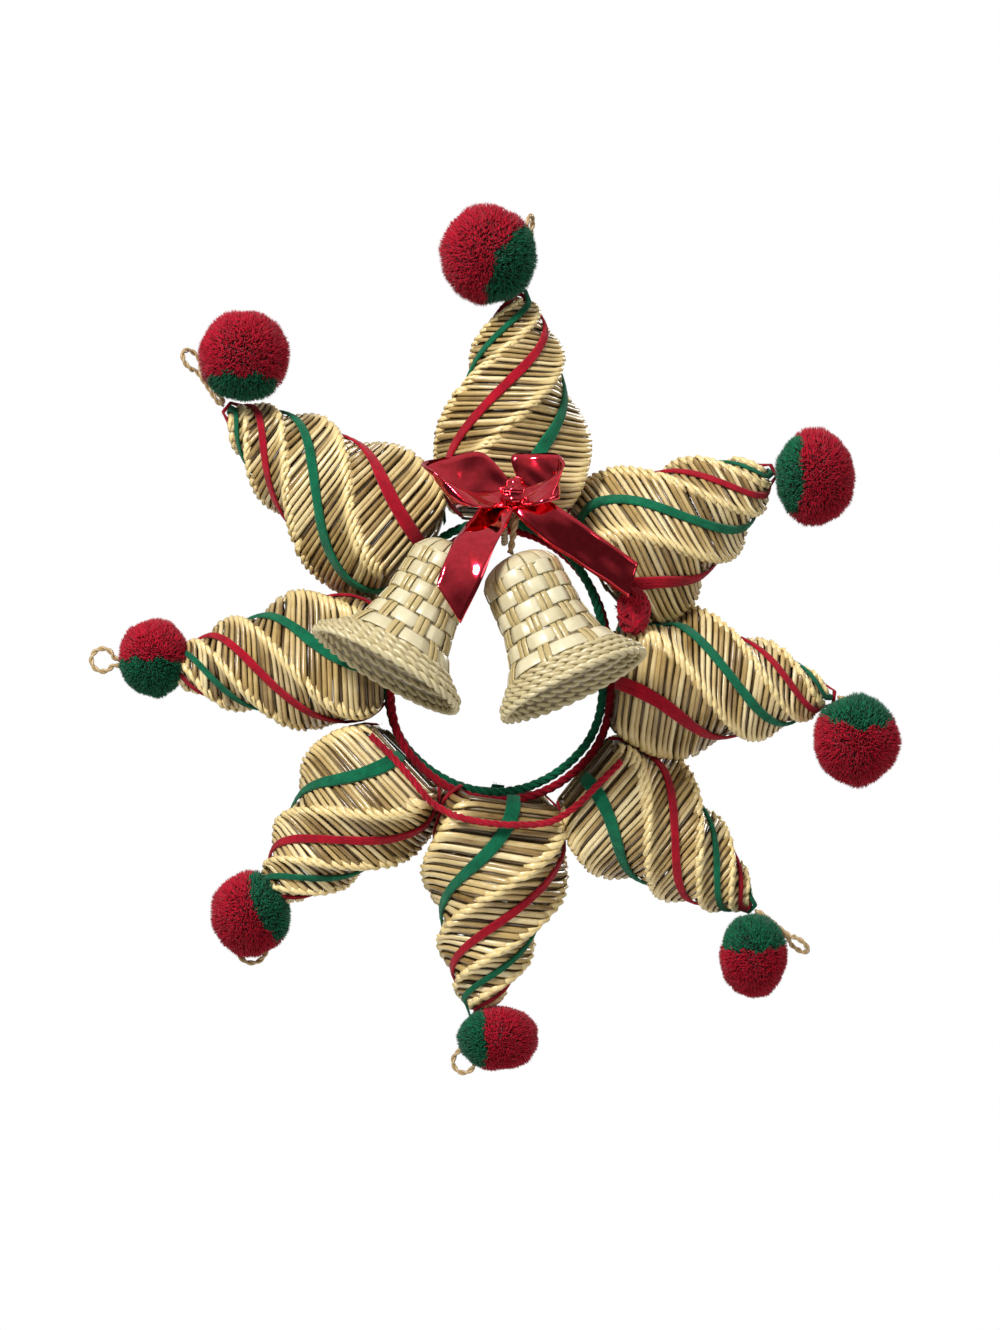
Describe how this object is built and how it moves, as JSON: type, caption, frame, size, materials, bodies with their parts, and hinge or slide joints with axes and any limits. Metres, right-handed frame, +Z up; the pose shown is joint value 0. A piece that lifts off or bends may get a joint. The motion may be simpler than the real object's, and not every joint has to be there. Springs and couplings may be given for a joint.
{
  "type": "hanging straw star ornament",
  "caption": "Hanging star of spiral-plaited straw cones in a ring, bound with red and green yarn, with pompoms at the points and woven bells and a foil bow in front",
  "frame": {"origin": "inside the top of the hanging loop, where a hook bears", "axes": "+Z up, the front with the bells faces -Y, +X to the right seen from the front"},
  "size_m": [0.3402, 0.1286, 0.3666],
  "materials": {
    "straw": "natural wheat straws, plaited, semi-gloss golden skin",
    "straw_cord": "straw twisted into a two-strand cord",
    "palm": "flat palm strips in a plain weave, satin, pale",
    "red_yarn": "fuzzy knitting yarn, matt red",
    "green_yarn": "fuzzy knitting yarn, matt green",
    "pompom_yarn": "cut yarn pile, deep red with a dark green part towards the cone",
    "foil": "red metallised plastic ribbon, mirror gloss with soft creases"
  },
  "bodies": {
    "root": {"cone_top": "straw", "cone_upper_left": "straw", "cone_left": "straw", "cone_lower_left": "straw", "cone_bottom": "straw", "cone_lower_right": "straw", "cone_right": "straw", "cone_upper_right": "straw", "yarn_red_top": "red_yarn", "yarn_green_top": "green_yarn", "yarn_red_upper_left": "red_yarn", "yarn_green_upper_left": "green_yarn", "yarn_red_left": "red_yarn", "yarn_green_left": "green_yarn", "yarn_red_lower_left": "red_yarn", "yarn_green_lower_left": "green_yarn", "yarn_red_bottom": "red_yarn", "yarn_green_bottom": "green_yarn", "yarn_red_lower_right": "red_yarn", "yarn_green_lower_right": "green_yarn", "yarn_red_right": "red_yarn", "yarn_green_right": "green_yarn", "yarn_red_upper_right": "red_yarn", "yarn_green_upper_right": "green_yarn", "hanging_loop": "straw_cord", "loop_upper_left": "straw_cord", "loop_left": "straw_cord", "loop_lower_left": "straw_cord", "loop_bottom": "straw_cord", "loop_lower_right": "straw_cord", "loop_right": "straw_cord", "loop_upper_right": "straw_cord", "pompom_top": "pompom_yarn", "pompom_upper_left": "pompom_yarn", "pompom_left": "pompom_yarn", "pompom_lower_left": "pompom_yarn", "pompom_bottom": "pompom_yarn", "pompom_lower_right": "pompom_yarn", "pompom_right": "pompom_yarn", "pompom_upper_right": "pompom_yarn", "tie_cord_red": "red_yarn", "tie_cord_green": "green_yarn", "neck_tie": "red_yarn", "tie_knot": "red_yarn", "bell_left": "palm", "bell_right": "palm", "bell_cord": "straw_cord", "bow": "foil"}
  },
  "joints": []
}
